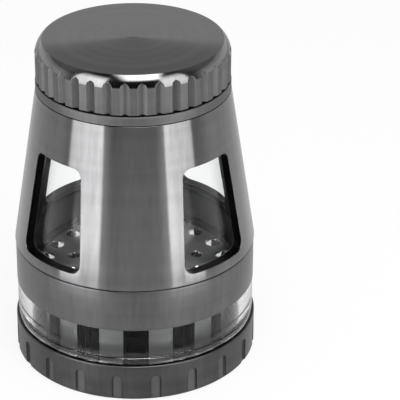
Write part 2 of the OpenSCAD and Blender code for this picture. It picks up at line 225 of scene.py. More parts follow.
class MillBarrelSizes(bpy.types.PropertyGroup):
    """Sizes of the barrel, its windows and its liner."""

    foot_lip: length("Foot lip", "How far the foot of the barrel stands proud of the band", 0.17)
    seam: length("Seam", "Gap between the band and the foot of the barrel", 0.25)
    cone_height: length("Cone height", "Height from the foot to the shoulder line", 42.85)
    collar_height: length("Collar height", "Height of the collar above the shoulder line", 2.5)
    wall: length("Wall", "Radial wall of the cone", 2.7)
    spigot_wall: length("Spigot wall", "Wall of the threaded spigot", 1)
    bore_step: length("Bore step", "Step from the cone's wall to the bore of the spigot", 0.47)
    deck: length("Deck", "Thickness of the deck under the collar", 2.6)
    line_depth: length("Line depth", "Depth of the groove at the shoulder line", 0.25)
    groove_low: length("Snap groove", "Height of the snap ring's groove above the foot", 0.2)
    groove_width: length("Snap groove width", "Width of the snap ring's groove", 0.9)
    groove_depth: length("Snap groove depth", "Depth of the snap ring's groove", 0.65)
    window_count: count("Windows", "Number of windows", 4)
    window_turn: FloatProperty(name="Window turn", description="Angle of the windows past the front",
                               default=math.radians(-1.5), unit="ROTATION")
    window_height: length("Window height", "Height of a window", 27.7)
    sill_height: length("Sill height", "Height of the sill above the foot", 2.65)
    sill_width: length("Sill width", "Width of a window at its sill", 21.2)
    head_width: length("Head width", "Width of a window at its head", 15.9)
    corner: length("Window corner", "Radius of the corners of a window", 2.5)
    liner_wall: length("Liner wall", "Thickness of the clear liner", 1.4)
    neck_wall: length("Neck wall", "Wall of the neck", 2.2)


class MillCapSizes(bpy.types.PropertyGroup):
    """Sizes of the cap and of the threads."""

    roof: length("Roof", "Thickness of the roof at its centre", 2.5)
    edge_radius: length("Edge radius", "Radius of the rounded upper edge", 5.8)
    edge_width: length("Edge width", "Width of the rounded edge seen from above", 1.9)
    dome: length("Dome", "Rise of the turned disc above its edge", 0.3)
    flute_count: count("Flutes", "Number of flutes", 36)
    flute_width: length("Flute width", "Width of a flute at the outside", 2.4)
    flute_depth: length("Flute depth", "Depth of a flute below the crests beside it", 0.9)
    crest_inset: length("Crest inset", "How far the crests lie inside the collar", 0.15)
    flute_top: length("Flute top", "How far below the top of the cap the flutes run out", 2.55)
    lead: length("Lead", "Rise of a thread in one turn", 2.5)
    ridge_height: length("Ridge height", "Height of a thread ridge", 0.6)
    ridge_width: length("Ridge width", "Width of a thread ridge at its root", 0.9)
    ridge_sink: length("Ridge sink", "How deep a ridge is let into its wall", 0.4)
    thread_gap: length("Thread gap", "Clearance round a thread ridge", 0.2)
    thread_end: length("Thread end", "Plain length at each end of a thread", 0.3)
    cap_gap: length("Cap gap", "Gap between the collar and the cap", 0.35)


class MillFinishes(bpy.types.PropertyGroup):
    """Colours and roughness of the finishes."""

    base_metal: colour("Base metal", "Gunmetal of the base", (0.096, 0.096, 0.098))
    band_metal: colour("Band metal", "Gunmetal of the band and the plate", (0.155, 0.155, 0.158))
    barrel_metal: colour("Barrel metal", "Gunmetal of the barrel", (0.2, 0.2, 0.203))
    cap_metal: colour("Cap metal", "Gunmetal of the cap", (0.19, 0.19, 0.193))
    # Lighter milled metal: real on the grip slots, painted light on the outer tooth faces and on the top and
    # holes of the plate
    milled_and_painted_light_metal: colour("Milled metal", "Fresh metal of the plate and of the teeth", (0.32, 0.32, 0.325))
    # Bare metal on rubbed edges, which also stands in for painted edge highlights
    worn_and_sheen_metal: colour("Worn metal", "Bare metal on worn edges", (0.42, 0.42, 0.42))
    # Painted glints for the holes of the plate, and painted light on its top
    painted_light_metal: colour("Bright metal", "Bright metal in the holes of the plate", (0.85, 0.85, 0.86))
    clear: colour("Clear acrylic", "Tint of the clear pieces", (0.995, 1.0, 1.0))
    nylon: colour("Nylon", "Friction ring", (0.8, 0.8, 0.77))
    rubber: colour("Rubber", "Seals and gaskets", (0.022, 0.022, 0.023))
    nickel: colour("Nickel", "Plating of the magnets", (0.72, 0.71, 0.68))
    screw: colour("Screw steel", "Steel of the screws", (0.5, 0.5, 0.49))
    spring: colour("Spring steel", "Steel of the snap ring", (0.13, 0.13, 0.14))
    turned_roughness: share("Turned roughness", "Roughness of the brushed cone", 0.18)
    disc_roughness: share("Disc roughness", "Roughness of the brushed disc of the cap", 0.08)
    satin_roughness: share("Satin roughness", "Roughness of the satin metal", 0.33)
    smooth_roughness: share("Smooth roughness", "Roughness of the collar", 0.48)
    polished_roughness: share("Polished roughness", "Roughness of the polished edge of the cap", 0.12)
    grain: share("Grain", "How far turning marks stretch a reflection", 0.97)


class Wire:
    """A socket in an expression. Its operators add Math nodes to the same tree."""

    def __init__(self, tree, socket):
        self.tree = tree
        self.socket = socket

    def out(self, name):
        """Another output of the same node."""
        return Wire(self.tree, self.socket.node.outputs[name])

    def math(self, operation, *values):
        """A Math node on some values."""
        return self.tree.node("ShaderNodeMath", {"operation": operation}, values)

    def __add__(self, other):
        return self.math("ADD", self, other)

    __radd__ = __add__

    def __sub__(self, other):
        return self.math("SUBTRACT", self, other)

    def __rsub__(self, other):
        return self.math("SUBTRACT", other, self)

    def __mul__(self, other):
        return self.math("MULTIPLY", self, other)

    __rmul__ = __mul__

    def __truediv__(self, other):
        return self.math("DIVIDE", self, other)

    def __rtruediv__(self, other):
        return self.math("DIVIDE", other, self)

    def __pow__(self, other):
        return self.math("POWER", self, other)

    def __rpow__(self, other):
        return self.math("POWER", other, self)

    def clamped(self):
        """The value held between 0 and 1."""
        return self.math("MAXIMUM", self.math("MINIMUM", self, 1.0), 0.0)

    def ramp(self, start, end):
        """0 at start and 1 at end, straight between them and held beyond them."""
        return ((self - start) / (end - start)).clamped()


class Tree:
    """A node tree that is built from nodes and expressions."""

    def __init__(self, owner):
        owner.use_nodes = True
        self.tree = owner.node_tree
        self.tree.nodes.clear()

    def node(self, kind, settings=None, inputs=(), output=0):
        """Adds a node, sets it, fills its sockets and gives one of its outputs."""
        node = self.tree.nodes.new(kind)
        for key, value in (settings or {}).items():
            setattr(node, key, value)
        pairs = inputs.items() if isinstance(inputs, dict) else enumerate(inputs)
        for key, value in pairs:
            if isinstance(value, Wire):
                self.tree.links.new(value.socket, node.inputs[key])
            else:
                node.inputs[key].default_value = value
        return Wire(self, node.outputs[output]) if len(node.outputs) else None

    def mix(self, factor, first, second):
        """A colour between two colours."""
        return self.node("ShaderNodeMix", {"data_type": "RGBA"}, {0: factor, 6: first, 7: second}, 2)

    def line_noise(self, place, detail):
        """Noise from 0 to 1 along a line."""
        return self.node("ShaderNodeTexNoise", {"noise_dimensions": "1D"},
                         {"W": place, "Scale": 1.0, "Detail": detail})

    def noise(self, place, scale, detail=2.0):
        """Noise from 0 to 1 at a place."""
        return self.node("ShaderNodeTexNoise", {}, {"Vector": place, "Scale": scale, "Detail": detail})

    def bump(self, strength, depth, height, normal=None):
        """Fine relief, on top of a normal if it is given."""
        inputs = {"Strength": strength, "Distance": depth, "Height": height}
        if normal:
            inputs["Normal"] = normal
        return self.node("ShaderNodeBump", {}, inputs)

    def shader(self, **inputs):
        """A Principled shader."""
        sockets = {key.replace("_", " "): value for key, value in inputs.items()}
        return self.node("ShaderNodeBsdfPrincipled", {}, sockets)

    def end(self, surface, kind="ShaderNodeOutputMaterial"):
        """Ends a material, a world or a lamp."""
        self.node(kind, {}, {"Surface": surface})


def rgba(shade, scale=1.0):
    """A colour with alpha, brightened or darkened."""
    return tuple(min(channel * scale, 1) for channel in shade) + (1,)


def new_material(name):
    """An empty material and its tree."""
    material = bpy.data.materials.new(name)
    return material, Tree(material)


def turned_metal(name, shade, finishes, regions, soft_edge=EDGE_SOFT):
    """Dark satin metal with turning marks, painted shade in its crevices, and thin bright edges that are
    rubbed bare and painted highlights.

    regions gives shares from 0 to 1 at a radius and height. brushed: marks stretch the reflections, at
    the roughness beside it. smooth and polished: other roughness. matt: less metallic. ringed: marks
    without streaks. worn: more rubbed edges, also painted highlights. lined: painted shadow on edges.
    fresh: lighter milled metal, painted light on teeth and plate. bright: painted light and glints. open:
    less painted shade in crevices. dark: painted shade, as black as a crevice.
    """
    material, tree = new_material(name)
    place = tree.node("ShaderNodeTexCoord", output="Object")
    parts = tree.node("ShaderNodeSeparateXYZ", {}, [place])
    x, y, z = (parts.out(axis) for axis in "XYZ")
    radius = (x * x + y * y) ** 0.5
    along = z + radius
    marks = tree.line_noise(along / MARK_PITCH, 3.0)
    bands = tree.line_noise(along / BAND_PITCH, 2.0)
    around = tree.node("ShaderNodeCombineXYZ", {}, [x / radius, y / radius, z * 5.0])
    streaks = tree.noise(around, 30.0, 3.0)
    sectors = tree.node("ShaderNodeCombineXYZ", {}, [x / radius, y / radius, z * 2.0])
    broad = tree.noise(sectors, 5.0, 1.0)
    soft = tree.node("ShaderNodeBevel", {"samples": 6}, {"Radius": soft_edge})
    flat = tree.node("ShaderNodeNewGeometry", output="Normal")
    turned = tree.node("ShaderNodeVectorMath", {"operation": "DOT_PRODUCT"}, [soft, flat], "Value")
    # Rubbed bare edges, found with the Bevel node; they also paint in the thin highlights that edges catch
    scuffs = tree.noise(place, 900.0, 4.0)
    edge = 1 - turned
    rub_and_sheen = (edge * 2.5 * (scuffs + 0.2)).clamped()
    # Painted shade: ambient occlusion takes the tint of crevices towards near black
    open_air = tree.node("ShaderNodeAmbientOcclusion", {"samples": 6}, {"Distance": CREVICE}, "AO")
    lit = (open_air * 1.25 - 0.25).clamped()
    look = regions(radius, z)
    if "worn_and_sheen" in look:
        rub_and_sheen = (rub_and_sheen * (1 + look["worn_and_sheen"] * 3)).clamped()
    spread = 1 - look["ringed"] if "ringed" in look else 1.0
    uneven = ((streaks - 0.5) * STREAK_TONE + (broad - 0.5) * PATCH_TONE) * spread
    ringed = (marks - 0.5) * (1 - spread) * MARK_TONE
    shades = uneven + (bands - 0.5) * BAND_TONE + ringed + 0.5
    tint = tree.mix(shades.clamped(), rgba(shade, DARK_TONE), rgba(shade, BRIGHT_TONE))
    if "fresh_and_painted_light" in look:
        tint = tree.mix(look["fresh_and_painted_light"], tint, rgba(finishes.milled_and_painted_light_metal))
    tint = tree.mix(rub_and_sheen, tint, rgba(finishes.worn_and_sheen_metal))
    if "bright" in look:
        tint = tree.mix(look["bright"], tint, rgba(finishes.painted_light_metal))
    change = (streaks - 0.5) * spread * STREAK_ROUGHNESS + (bands - 0.5) * BAND_ROUGHNESS
    rough = finishes.satin_roughness
    for key, other in (("smooth", finishes.smooth_roughness), ("polished", finishes.polished_roughness)):
        if key in look:
            rough = rough + look[key] * (other - rough)
    if "polished" in look:
        marks = marks * (1 - look["polished"])
    if "open" in look:
        lit = lit + look["open"] * (1 - lit)
    if "painted_shade" in look:
        lit = lit * (1 - look["painted_shade"])
    if "lined" in look:
        lit = lit * (1 - look["lined"] * (edge * 7).clamped())
    metal = 1 - look["matt"] if "matt" in look else 1.0
    # Painted shade: where lit is low (crevices, shaded regions, shaded edges) the tint goes to near black
    tint = tree.mix(lit, CREVICE_SHADE_COLOUR, tint)
    bump = tree.bump(0.3, MARK_DEPTH, marks, soft)
    surface = tree.shader(Base_Color=tint, Metallic=metal, Roughness=change + rough, Normal=bump)
    if "brushed" in look:
        brushed = tree.shader(Base_Color=tint, Metallic=metal, Roughness=change + look["roughness"],
                              Anisotropic=finishes.grain, Anisotropic_Rotation=0.25, Normal=bump)
        surface = tree.node("ShaderNodeMixShader", {}, [look["brushed"], surface, brushed])
    tree.end(surface)
    return material


def cap_regions(radius, z):
    """The disc of the cap is brushed, its rounded edge is polished and its flutes are matt, with painted
    shade and painted edge highlights.
    """
    sizes = bpy.context.scene.mill_cap
    across = radius - (collar_radius() - sizes.edge_radius)
    up = z - cap_edge_height(sizes)
    to_centre = (across * across + up * up) ** 0.5
    edge = sizes.edge_radius - SHARP / 2
    on_edge = to_centre.ramp(edge - SHARP, edge)
    polished = on_edge * up.ramp(0, BLEND)
    rim = collar_radius() - sizes.edge_width - SHARP
    disc = radius.ramp(rim, rim - SHARP)
    under_disc = high("cap") - sizes.dome - 2 * BLEND
    brushed = disc * z.ramp(under_disc, under_disc + BLEND)
    flutes = (1 - disc) * (1 - polished)
    return {"brushed": brushed, "roughness": bpy.context.scene.mill_finishes.disc_roughness,
            "smooth": 1 - brushed, "polished": polished, "ringed": disc,
            "matt": flutes * 0.5, "painted_shade": flutes * 0.42, "open": flutes * 0.5, "worn_and_sheen": flutes}


def barrel_regions(radius, z):
    """The cone of the barrel is brushed outside and matt inside; painted shade makes its jambs black, its
    inner wall and collar dimmer and all above the collar black.
    """
    sizes = bpy.context.scene.mill_barrel
    foot, shoulder, collar = barrel_heights(sizes)
    slope, foot_radius = barrel_slope(sizes)
    depth = foot_radius - (z - foot) * slope - radius
    below = z.ramp(shoulder, shoulder - BLEND)
    cone = z.ramp(foot, foot + BLEND) * below
    inside = depth.ramp(2 * BLEND, 4 * BLEND) * below
    face = sizes.wall - BLEND / 2
    inner = depth.ramp(face - BLEND, face) * below
    top = collar - SHARP / 2
    gap = z.ramp(top - SHARP, top)
    jamb = inside - inner
    neck = 1 - below - gap
    return {"brushed": cone * (1 - inside), "roughness": bpy.context.scene.mill_finishes.turned_roughness,
            "smooth": 1 - cone * (1 - inside) - inside, "matt": inner * 0.5 + (1 - below) * 0.4,
            "open": inner * 0.8, "painted_shade": jamb * 0.93 + inner * 0.15 + neck * 0.4 + gap}


def within_ring(radius):
    """1 inside the clear ring and 0 outside it."""
    spigot = reach("ring_gasket")
    return radius.ramp(spigot, spigot - BLEND)


def base_regions(radius, z):
    """The outer faces of the standing teeth are lightened with painted light, the grip slots have painted
    shadow on their edges and painted shade makes the inside nearly black.
    """
    sizes = bpy.context.scene.mill_base
    outer = reach("base_cup")
    tooth = row_radius(0) - BLEND
    face = radius.ramp(tooth - BLEND / 2, tooth)
    inside = within_ring(radius)
    bare_head = high("base_cup") - SLOT_SHADE
    edge_head = high("base_cup") - SLOT_EDGE_SHADE
    sunken = radius.ramp(outer - BLEND, outer - BLEND * 1.5) * (1 - inside)
    slot = sunken * z.ramp(bare_head, bare_head - BLEND)
    side = z.ramp(edge_head, edge_head - BLEND) * (1 - inside)
    floor = outer - sizes.slot_depth + 2 * SHARP
    wall = slot * (1 - radius.ramp(floor + 2 * SHARP, floor))
    return {"fresh_and_painted_light": inside * face + slot * 0.12, "painted_shade": inside * (0.94 - face * 0.64),
            "matt": inside * face * 0.6 + slot * 0.45, "lined": side * (1 - wall),
            "open": slot * 0.4 + wall * 0.5}


def plate_regions(radius, z):
    """The top of the plate is brushed and lightened with painted light, its holes carry painted glints and
    painted shade makes its teeth nearly black.
    """
    foot = low("grinding_plate")
    top = high("grinding_plate") - 2 * SHARP
    inside = within_ring(radius)
    face = z.ramp(top - SHARP, top)
    hole = z.ramp(foot, foot + BLEND) * (1 - face)
    return {"brushed": inside * face, "roughness": bpy.context.scene.mill_finishes.turned_roughness,
            "polished": inside * hole, "fresh_and_painted_light": inside * (face + hole),
            "bright": inside * (hole + face * 0.3),
            "matt": inside * face * 0.65, "painted_shade": inside * (1 - face - hole) * 0.94}


def clear_acrylic(name, tint, glossy_to=0.0):
    """Polished clear acrylic with faint rub marks. It is glossier below a height."""
    material, tree = new_material(name)
    place = tree.node("ShaderNodeTexCoord", output="Object")
    rub = tree.noise(place, 400.0, 4.0)
    rough = ((rub - 0.62) * 0.25).clamped()
    waves = tree.noise(place, 60.0, 1.0)
    height = tree.node("ShaderNodeSeparateXYZ", {}, [place]).out("Z")
    gloss = height.ramp(glossy_to, glossy_to - BLEND)
    bump = tree.bump(0.05, SKIN_DEPTH, waves)
    tree.end(tree.shader(Base_Color=rgba(tint), Roughness=rough, IOR=1.49, Transmission_Weight=1.0,
                         Coat_Weight=gloss, Specular_Tint=CLEAR_SPECULAR, Normal=bump))
    return material


def moulded(name, shade, roughness, speckle, sheen=0.0):
    """Moulded plastic or rubber with a fine skin."""
    material, tree = new_material(name)
    place = tree.node("ShaderNodeTexCoord", output="Object")
    skin = tree.noise(place, 1500.0, 3.0)
    clouds = tree.noise(place, 120.0, 2.0)
    tint = tree.mix(clouds, rgba(shade, 1 - speckle), rgba(shade, 1 + speckle))
    bump = tree.bump(0.3, SKIN_DEPTH, skin)
    tree.end(tree.shader(Base_Color=tint, Roughness=roughness + (skin - 0.5) * 0.15,
                         Sheen_Weight=sheen, Normal=bump))
    return material


def plain_metal(name, shade, roughness, scratch_scale):
    """Plated or drawn metal with small scratches and handling marks."""
    material, tree = new_material(name)
    place = tree.node("ShaderNodeTexCoord", output="Object")
    scratches = tree.noise(place, scratch_scale, 5.0)
    marks = tree.noise(place, 200.0, 2.0)
    tint = tree.mix(marks, rgba(shade, 0.88), rgba(shade, 1.06))
    bump = tree.bump(0.2, SCRATCH_DEPTH, scratches)
    tree.end(tree.shader(Base_Color=tint, Metallic=1.0, Roughness=roughness + (scratches - 0.5) * 0.2,
                         Normal=bump))
    return material


def finish(slot_name):
    """The material of a slot, made the first time that it is asked for."""
    name = "finished_" + slot_name
    if name in bpy.data.materials:
        return bpy.data.materials[name]
    finishes = bpy.context.scene.mill_finishes
    makers = {
        "gunmetal_base": lambda: turned_metal(name, finishes.base_metal, finishes, base_regions,
                                              BASE_EDGE_SOFT),
        "gunmetal_plate": lambda: turned_metal(name, finishes.band_metal, finishes, plate_regions),
        "gunmetal_barrel": lambda: turned_metal(name, finishes.barrel_metal, finishes, barrel_regions),
        "gunmetal_cap": lambda: turned_metal(name, finishes.cap_metal, finishes, cap_regions),
        "clear_acrylic": lambda: clear_acrylic(name, finishes.clear, flange_line() + GLOSS_RISE),
        "clear_liner": lambda: clear_acrylic(name, finishes.clear),
        "white_nylon": lambda: moulded(name, finishes.nylon, 0.45, 0.03),
        "black_rubber": lambda: moulded(name, finishes.rubber, 0.65, 0.15, 0.2),
        "magnet_nickel": lambda: plain_metal(name, finishes.nickel, 0.16, 700.0),
        "screw_steel": lambda: plain_metal(name, finishes.screw, 0.3, 1600.0),
        "spring_steel": lambda: plain_metal(name, finishes.spring, 0.35, 1200.0),
    }
    return makers[slot_name]()


def select_only(obj=None):
    """Deselects everything, and selects one object if it is given."""
    if bpy.context.mode != "OBJECT":
        bpy.ops.object.mode_set(mode="OBJECT")
    bpy.ops.object.select_all(action="DESELECT")
    if obj:
        obj.select_set(True)
        bpy.context.view_layer.objects.active = obj


def edit(obj):
    """Opens a mesh for editing with all of it selected."""
    select_only(obj)
    bpy.ops.object.mode_set(mode="EDIT")
    bpy.ops.mesh.select_all(action="SELECT")


def tidy_mesh():
    """Merges doubles, turns the faces outwards and leaves edit mode."""
    bpy.ops.mesh.select_all(action="SELECT")
    bpy.ops.mesh.remove_doubles(threshold=MERGE)
    bpy.ops.mesh.normals_make_consistent(inside=False)
    bpy.ops.object.mode_set(mode="OBJECT")


def rounded(corners):
    """Turns (across, up, radius) corners into a path with arcs. A corner may leave out its radius."""
    path = []
    for i, corner in enumerate(corners):
        here = Vector(corner[:2])
        if len(corner) == 2:
            path.append(here)
            continue
        before = (Vector(corners[i - 1][:2]) - here).normalized()
        after = (Vector(corners[(i + 1) % len(corners)][:2]) - here).normalized()
        half = before.angle(after) / 2
        centre = here + (before + after).normalized() * corner[2] / math.sin(half)
        start = here + before * corner[2] / math.tan(half) - centre
        end = here + after * corner[2] / math.tan(half) - centre
        sweep = start.angle(end)
        for step in range(ARC_STEPS + 1):
            along = sweep * step / ARC_STEPS
            path.append(centre + (start * math.sin(sweep - along) + end * math.sin(along)) / math.sin(sweep))
    return path


def facing(angle, outward, across=0.0, up=0.0):
    """A point given from the front of the mill: turned by angle, then outward, across and up."""
    outward_x, outward_y = math.sin(angle), -math.cos(angle)
    return Vector((outward_x * outward - outward_y * across, outward_y * outward + outward_x * across, up))


def draw(name, points):
    """Starts a mesh as one vertex and extrudes it from point to point."""
    select_only()
    bpy.ops.mesh.primitive_plane_add(size=MM)
    obj = bpy.context.object
    obj.name = obj.data.name = name
    bpy.ops.object.mode_set(mode="EDIT")
    bpy.ops.mesh.merge(type="CENTER")
    bpy.ops.transform.translate(value=points[0])
    for here, there in zip(points, points[1:]):
        bpy.ops.mesh.extrude_region_move(TRANSFORM_OT_translate={"value": there - here})
    return obj


def join_ends():
    """Joins the first and the last vertex of a drawn line."""
    mesh = bmesh.from_edit_mesh(bpy.context.object.data)
    ends = [vertex for vertex in mesh.verts if len(vertex.link_edges) == 1]
    bpy.ops.mesh.select_all(action="DESELECT")
    for vertex in ends:
        vertex.select_set(True)
    bmesh.update_edit_mesh(bpy.context.object.data)
    bpy.ops.mesh.edge_face_add()


def turn(name, corners, steps=TURN_STEPS):
    """Turns a section of (radius, height, round) corners round the axis."""
    section = rounded(corners)
    obj = draw(name, [facing(0, point.x, 0, point.y) for point in section])
    if section[0].x > MERGE:
        join_ends()
    bpy.ops.mesh.select_all(action="SELECT")
    bpy.ops.mesh.spin(steps=steps, angle=math.tau, center=(0, 0, 0), axis=UP)
    tidy_mesh()
    return obj


def prism(name, outline, *sweeps):
    """Fills a closed outline and extrudes it along one sweep after another."""
    obj = draw(name, outline)
    bpy.ops.mesh.select_all(action="SELECT")
    bpy.ops.mesh.edge_face_add()
    for sweep in sweeps:
        bpy.ops.mesh.extrude_region_move(TRANSFORM_OT_translate={"value": sweep})
    tidy_mesh()
    return obj


def repeat(obj, number):
    """Copies a mesh round the axis until it is there number times."""
    edit(obj)
    bpy.ops.mesh.spin(steps=number - 1, angle=math.tau * (number - 1) / number, center=(0, 0, 0),
                      axis=UP, dupli=True)
    bpy.ops.object.mode_set(mode="OBJECT")
    return obj


def shift(obj, by):
    """Moves a mesh inside its object."""
    edit(obj)
    bpy.ops.transform.translate(value=by)
    bpy.ops.object.mode_set(mode="OBJECT")
    return obj


def apply_modifier(obj, kind, **settings):
    """Adds a modifier, sets it and applies it."""
    select_only(obj)
    bpy.ops.object.modifier_add(type=kind)
    modifier = obj.modifiers[-1]
    for key, value in settings.items():
        setattr(modifier, key, value)
    bpy.ops.object.modifier_apply(modifier=modifier.name)


def combine(obj, tool, operation):
    """Cuts or joins a tool mesh, then deletes the tool."""
    apply_modifier(obj, "BOOLEAN", object=tool, operation=operation, solver="EXACT")
    bpy.data.objects.remove(tool)


def join(name, pieces):
    """Joins meshes that stay separate shells."""
    select_only(pieces[0])
    for piece in pieces[1:]:
        piece.select_set(True)
    bpy.ops.object.join()
    pieces[0].name = pieces[0].data.name = name
    return pieces[0]


def dress(obj, node):
    """Gives a finished piece its shading, material, body and slot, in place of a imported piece."""
    select_only(obj)
    bpy.ops.object.shade_smooth_by_angle(angle=SMOOTH_ANGLE)
    obj.data.materials.clear()
    obj.data.materials.append(finish(SLOTS[node]))
    if len(obj.data.vertices) == 0:
        raise RuntimeError(obj.name + " came out empty")
    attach(obj, BODIES[node])
    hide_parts(node)


def thread(name, root, tip, start, run, sizes):
    """A helical ridge from a root to a tip radius, rising from the front of the mill."""
    inward = tip < root
    back = root + sizes.ridge_sink if inward else root - sizes.ridge_sink
    wide = sizes.ridge_width / 2
    thin = wide / 2
    section = [(back, -wide), (tip, -thin), (tip, thin), (back, wide)]
    obj = draw(name, [facing(0, radius, 0, start + up) for radius, up in section])
    join_ends()
    bpy.ops.object.mode_set(mode="OBJECT")
    turns = run / sizes.lead
    steps = round(turns * THREAD_STEPS)
    apply_modifier(obj, "SCREW", angle=math.tau * turns, screw_offset=run, steps=steps,
                   render_steps=steps, use_merge_vertices=False)
    edit(obj)
    bpy.ops.mesh.fill_holes(sides=len(section))
    tidy_mesh()
    return obj


def row_radius(row):
    """Outer radius of a row of teeth, counted from the outside."""
    sizes = bpy.context.scene.mill_base
    return reach("base_teeth") - row * (sizes.tooth_thickness + sizes.row_gap)


def tooth_row(name, row, number, foot, top):
    """A row of bevelled teeth with a gap at the front."""
    sizes = bpy.context.scene.mill_base
    outer = row_radius(row)
    inner = outer - sizes.tooth_thickness
    pitch = math.tau / number
    width = min(sizes.tooth_angle * row_radius(0) / outer, sizes.tooth_share * pitch)
    face = [facing(pitch / 2 + width * (step / ARC_STEPS - 0.5), outer, 0, foot)
            for step in range(ARC_STEPS + 1)]
    back = [facing(pitch / 2 + side * width / 2 * sizes.tooth_taper, inner, 0, foot) for side in (1, -1)]
    tooth = prism(name, face + back, UP * (top - foot))
    apply_modifier(tooth, "BEVEL", width=sizes.tooth_bevel, segments=2, limit_method="ANGLE",
                   angle_limit=SMOOTH_ANGLE)
    return repeat(tooth, number)


def boss(name, foot, face, floor_of_hole):
    """A boss between two heights with a pocket for a magnet and its screw."""
    sizes = bpy.context.scene.mill_plate
    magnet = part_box("base_magnet")
    pocket_radius = magnet[1].x + sizes.press_gap
    pocket_depth = magnet[1].z - magnet[0].z + sizes.press_gap
    screw_radius = SHANK + sizes.press_gap
    outward = 1 if face > foot else -1
    radius = magnet[1].x + sizes.boss_wall
    pocket = face - outward * pocket_depth
    return turn(name, [
        (0, foot), (radius, foot), (radius, face, sizes.boss_edge), (pocket_radius, face),
        (pocket_radius, pocket), (screw_radius, pocket), (screw_radius, floor_of_hole),
        (0, floor_of_hole)], HOLE_STEPS * 2)


class MILL_OT_base_cup(bpy.types.Operator):
    """Models the turned base cup with its grip slots"""

    bl_idname = "mill.base_cup"
    bl_label = "Base cup"

    def execute(self, context):
        sizes = context.scene.mill_base
        rim = high("base_cup")
        outer = reach("base_cup")
        floor = low("base_teeth")
        seat = rim - sizes.seat_depth
        seat_radius = outer - sizes.slot_depth - sizes.rim_wall
        bore = reach("ring_gasket") - sizes.spigot_wall - sizes.cup_step
        cup = turn("cup_turned", [
            (0, 0), (outer - sizes.foot_bevel, 0, sizes.foot_bevel / 2),
            (outer, sizes.foot_bevel, sizes.foot_bevel / 2), (outer, rim, sizes.edge),
            (seat_radius, rim, sizes.edge / 3), (seat_radius, seat), (bore, seat, sizes.edge / 3),
            (bore, floor), (0, floor)])
        pitch = math.tau / sizes.slot_count
        half = sizes.slot_width / 2
        head = rim - sizes.slot_head
        arch = half * SLOT_ARCH
        outline = rounded([(-half, -OVER), (half, -OVER), (half, head, arch), (-half, head, arch)])
        bottom = outer - sizes.slot_depth
        slot = prism("slot_cutter", [facing(pitch / 2, bottom, point.x, point.y) for point in outline],
                     facing(pitch / 2, sizes.slot_depth + OVER))
        combine(cup, repeat(slot, sizes.slot_count), "DIFFERENCE")
        dress(cup, "base_cup")
        return {"FINISHED"}


class MILL_OT_teeth(bpy.types.Operator):
    """Models the standing and the hanging teeth with their magnet bosses"""

    bl_idname = "mill.teeth"
    bl_label = "Teeth"

    def execute(self, context):
        sizes = context.scene.mill_base
        screw_gap = context.scene.mill_plate.press_gap
        floor = low("base_teeth")
        top = high("base_teeth")
        magnet_face = high("base_magnet")
        standing = join("teeth_standing", [
            tooth_row("row", 0, sizes.outer_teeth, floor, top),
            tooth_row("row", 2, sizes.inner_teeth, floor, top),
            boss("boss", floor, magnet_face, low("base_magnet_screw") - screw_gap)])
        dress(standing, "base_teeth")
        ceiling = high("plate_teeth")
        tip = low("plate_teeth")
        hanging = join("teeth_hanging", [
            tooth_row("row", 1, sizes.outer_teeth, tip, ceiling),
            tooth_row("row", 3, sizes.inner_teeth, tip, ceiling),
            boss("boss", ceiling, low("plate_magnet"), high("plate_magnet_screw") + screw_gap)])
        dress(hanging, "plate_teeth")
        return {"FINISHED"}


def flange_line():
    """Height of the flange line on the clear ring."""
    sizes = bpy.context.scene.mill_base
    return high("base_cup") + 2 * sizes.running_gap + sizes.flange_height


class MILL_OT_clear_ring(bpy.types.Operator):
    """Models the clear ring between the base and the band"""

    bl_idname = "mill.clear_ring"
    bl_label = "Clear ring"

    def execute(self, context):
        sizes = context.scene.mill_base
        foot = low("clear_ring")
        tongue = high("clear_ring")
        top = low("body_band")
        outer = reach("clear_ring")
        bore = reach("ring_gasket") - sizes.spigot_wall
        spigot = reach("ring_gasket")
        shoulder = high("base_cup") + 2 * sizes.running_gap
        line = flange_line()
        half = sizes.flange_width / 2
        ring = turn("ring_clear", [
            (bore, foot), (spigot, foot), (spigot, shoulder), (outer, shoulder, sizes.edge),
            (outer, line - half, half), (outer - sizes.flange_width, line), (outer, line + half),
            (outer, top), (spigot, top), (spigot, tongue), (bore, tongue)])
        dress(ring, "clear_ring")
        return {"FINISHED"}


class MILL_OT_band(bpy.types.Operator):
    """Models the metal band with its inner thread"""

    bl_idname = "mill.band"
    bl_label = "Band"

    def execute(self, context):
        base = context.scene.mill_base
        plate = context.scene.mill_plate
        threads = context.scene.mill_cap
        foot = low("body_band")
        top = high("body_band")
        outer = reach("body_band")
        bore = reach("grinding_plate") + plate.press_gap
        tip = bore - threads.ridge_height
        band = turn("band_threaded", [
            (bore, foot), (outer, foot, base.edge / 2), (outer, top, base.edge), (bore, top, base.edge / 2)])
        spigot_foot = low("barrel")
        start = spigot_foot + threads.thread_end + threads.ridge_width / 2 + threads.lead / 2
        run = top - spigot_foot - threads.ridge_width - threads.lead / 2 - 2 * threads.thread_end
        combine(band, thread("thread", bore, tip, start, run, threads), "UNION")
        dress(band, "body_band")
        return {"FINISHED"}


